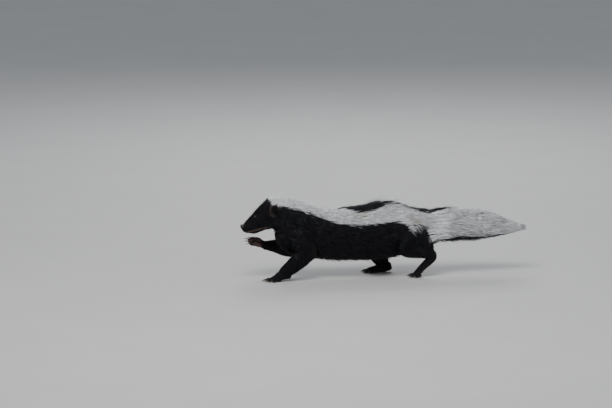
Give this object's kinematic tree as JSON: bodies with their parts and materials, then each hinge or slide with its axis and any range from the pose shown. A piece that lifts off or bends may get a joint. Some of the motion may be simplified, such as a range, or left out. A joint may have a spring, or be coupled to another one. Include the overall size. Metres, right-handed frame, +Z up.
{
  "type": "striped skunk model",
  "caption": "Life-size still model of a striped skunk in mid-stride, one forepaw lifted, its long plumed tail held straight out behind.",
  "frame": {"origin": "on the floor, under the middle of the animal's bounding box", "axes": "+X towards the tail, so the animal faces -X; +Y to its right side; +Z up"},
  "size_m": [0.6446, 0.1192, 0.1829],
  "materials": {
    "coat_black": "dense black fur with a low sheen",
    "coat_white": "long white guard hair",
    "nose_skin": "moist bare skin",
    "eye_dark": "wet dark brown eye",
    "claw_horn": "dull horn"
  },
  "bodies": {
    "root": {"claw_forepaw_left_1": "claw_horn", "claw_forepaw_left_2": "claw_horn", "claw_forepaw_left_3": "claw_horn", "claw_forepaw_left_4": "claw_horn", "claw_forepaw_left_5": "claw_horn", "claw_forepaw_right_1": "claw_horn", "claw_forepaw_right_2": "claw_horn", "claw_forepaw_right_3": "claw_horn", "claw_forepaw_right_4": "claw_horn", "claw_forepaw_right_5": "claw_horn", "claw_hindpaw_left_1": "claw_horn", "claw_hindpaw_left_2": "claw_horn", "claw_hindpaw_left_3": "claw_horn", "claw_hindpaw_left_4": "claw_horn", "claw_hindpaw_left_5": "claw_horn", "claw_hindpaw_right_1": "claw_horn", "claw_hindpaw_right_2": "claw_horn", "claw_hindpaw_right_3": "claw_horn", "claw_hindpaw_right_4": "claw_horn", "claw_hindpaw_right_5": "claw_horn", "ear_left": "coat_black", "ear_right": "coat_black", "eye_left": "eye_dark", "eye_right": "eye_dark", "foreleg_left": "coat_black", "foreleg_right": "coat_black", "forepaw_left": "coat_black", "forepaw_right": "coat_black", "head": "coat_black", "hindleg_left": "coat_black", "hindleg_right": "coat_black", "hindpaw_left": "coat_black", "hindpaw_right": "coat_black", "neck": "coat_black", "nose_pad": "nose_skin", "tail": "coat_white", "torso": "coat_black"}
  },
  "joints": []
}
